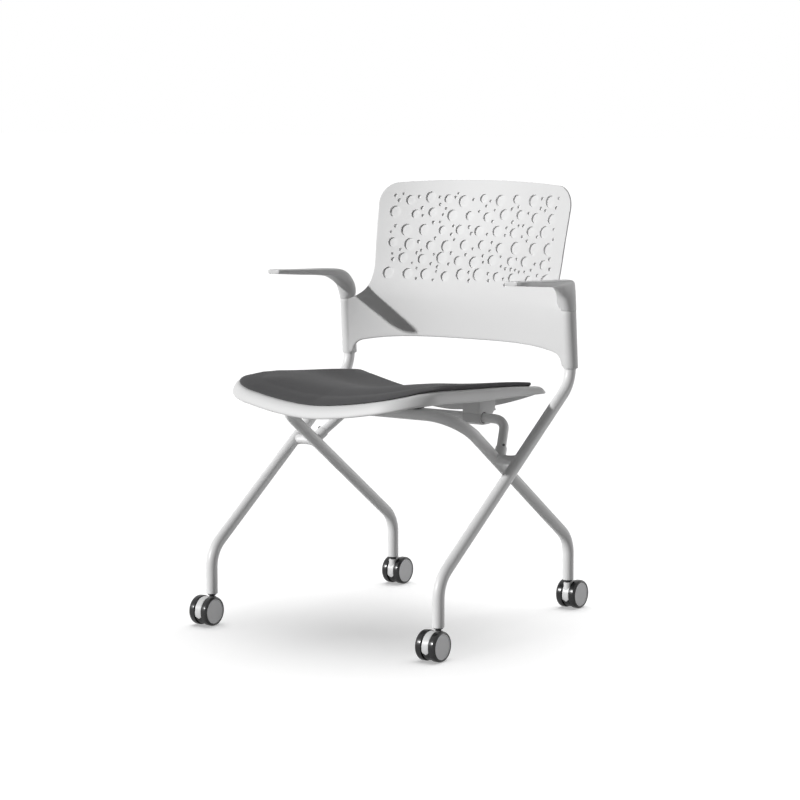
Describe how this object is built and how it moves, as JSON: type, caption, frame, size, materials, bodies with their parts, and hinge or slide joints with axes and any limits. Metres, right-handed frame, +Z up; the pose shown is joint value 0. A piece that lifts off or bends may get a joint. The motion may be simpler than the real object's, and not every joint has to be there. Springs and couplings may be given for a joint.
{
  "type": "nesting chair",
  "caption": "Nesting chair with a flip-up padded seat, moulded dimpled back, slim armrests and crossed tube legs on casters",
  "frame": {"origin": "on the floor, under the middle of the box round the whole chair", "axes": "+Z up; the chair faces -Y, so a sitter looks along -Y; +X is the sitter's left; metres"},
  "size_m": [0.578, 0.5974, 0.826],
  "materials": {
    "paint": "satin powder coat, light grey",
    "shell": "fine satin, off-white",
    "pad": "smooth dark grey upholstery",
    "bracket": "satin grey",
    "rubber": "matte",
    "bush": "satin black",
    "steel": "plain",
    "tread": "glossy black",
    "cap": "satin mid grey",
    "hood": "white"
  },
  "bodies": {
    "frame": {"side_frame_left": "paint", "side_frame_right": "paint", "rear_leg_frame": "paint", "seat_pivot_bar": "paint", "frame_knuckle_left": "paint", "frame_knuckle_right": "paint", "knuckle_screw_left": "steel", "knuckle_screw_right": "steel", "back_shell": "shell", "back_screw_left": "steel", "back_screw_right": "steel", "arm_left": "shell", "arm_right": "shell", "caster_front_left_stem": "bush", "caster_front_right_stem": "bush", "caster_rear_left_stem": "bush", "caster_rear_right_stem": "bush"},
    "seat": {"seat_shell": "shell", "seat_pad": "pad", "pivot_clamp_left": "bracket", "pivot_clamp_right": "bracket", "pivot_jaw_left": "bracket", "pivot_jaw_right": "bracket", "pivot_bush_left": "bush", "pivot_bush_right": "bush", "jaw_screw_left": "steel", "jaw_screw_right": "steel", "seat_rest_left": "rubber", "seat_rest_right": "rubber"},
    "caster_front_left": {"caster_front_left_hood": "hood", "caster_front_left_core": "tread", "caster_front_left_axle": "steel"},
    "caster_front_right": {"caster_front_right_hood": "hood", "caster_front_right_core": "tread", "caster_front_right_axle": "steel"},
    "caster_rear_left": {"caster_rear_left_hood": "hood", "caster_rear_left_core": "tread", "caster_rear_left_axle": "steel"},
    "caster_rear_right": {"caster_rear_right_hood": "hood", "caster_rear_right_core": "tread", "caster_rear_right_axle": "steel"},
    "wheel_front_left_outer": {"caster_front_left_tyre_left": "tread", "caster_front_left_hub_left": "cap"},
    "wheel_front_left_inner": {"caster_front_left_tyre_right": "tread", "caster_front_left_hub_right": "cap"},
    "wheel_front_right_outer": {"caster_front_right_tyre_right": "tread", "caster_front_right_hub_right": "cap"},
    "wheel_front_right_inner": {"caster_front_right_tyre_left": "tread", "caster_front_right_hub_left": "cap"},
    "wheel_rear_left_outer": {"caster_rear_left_tyre_left": "tread", "caster_rear_left_hub_left": "cap"},
    "wheel_rear_left_inner": {"caster_rear_left_tyre_right": "tread", "caster_rear_left_hub_right": "cap"},
    "wheel_rear_right_outer": {"caster_rear_right_tyre_right": "tread", "caster_rear_right_hub_right": "cap"},
    "wheel_rear_right_inner": {"caster_rear_right_tyre_left": "tread", "caster_rear_right_hub_left": "cap"}
  },
  "joints": [
    {"name": "seat_flip", "type": "hinge", "parent": "frame", "child": "seat", "pos_m": [0, 0.0765, 0.386], "axis": [-1, 0, 0], "range_deg": [0, 85]},
    {"name": "caster_front_left_swivel", "type": "hinge", "parent": "frame", "child": "caster_front_left", "pos_m": [0.2605, -0.255, 0.05], "axis": [0, 0, 1], "continuous": true},
    {"name": "caster_front_right_swivel", "type": "hinge", "parent": "frame", "child": "caster_front_right", "pos_m": [-0.2605, -0.255, 0.05], "axis": [0, 0, 1], "continuous": true},
    {"name": "caster_rear_left_swivel", "type": "hinge", "parent": "frame", "child": "caster_rear_left", "pos_m": [0.21, 0.255, 0.05], "axis": [0, 0, 1], "continuous": true},
    {"name": "caster_rear_right_swivel", "type": "hinge", "parent": "frame", "child": "caster_rear_right", "pos_m": [-0.21, 0.255, 0.05], "axis": [0, 0, 1], "continuous": true},
    {"name": "wheel_front_left_outer_spin", "type": "hinge", "parent": "caster_front_left", "child": "wheel_front_left_outer", "pos_m": [0.27545, -0.271, 0.02765], "axis": [1, 0, 0], "continuous": true},
    {"name": "wheel_front_left_inner_spin", "type": "hinge", "parent": "caster_front_left", "child": "wheel_front_left_inner", "pos_m": [0.24555, -0.271, 0.02765], "axis": [1, 0, 0], "continuous": true},
    {"name": "wheel_front_right_outer_spin", "type": "hinge", "parent": "caster_front_right", "child": "wheel_front_right_outer", "pos_m": [-0.27545, -0.271, 0.02765], "axis": [1, 0, 0], "continuous": true},
    {"name": "wheel_front_right_inner_spin", "type": "hinge", "parent": "caster_front_right", "child": "wheel_front_right_inner", "pos_m": [-0.24555, -0.271, 0.02765], "axis": [1, 0, 0], "continuous": true},
    {"name": "wheel_rear_left_outer_spin", "type": "hinge", "parent": "caster_rear_left", "child": "wheel_rear_left_outer", "pos_m": [0.22495, 0.271, 0.02765], "axis": [1, 0, 0], "continuous": true},
    {"name": "wheel_rear_left_inner_spin", "type": "hinge", "parent": "caster_rear_left", "child": "wheel_rear_left_inner", "pos_m": [0.19505, 0.271, 0.02765], "axis": [1, 0, 0], "continuous": true},
    {"name": "wheel_rear_right_outer_spin", "type": "hinge", "parent": "caster_rear_right", "child": "wheel_rear_right_outer", "pos_m": [-0.22495, 0.271, 0.02765], "axis": [1, 0, 0], "continuous": true},
    {"name": "wheel_rear_right_inner_spin", "type": "hinge", "parent": "caster_rear_right", "child": "wheel_rear_right_inner", "pos_m": [-0.19505, 0.271, 0.02765], "axis": [1, 0, 0], "continuous": true}
  ]
}
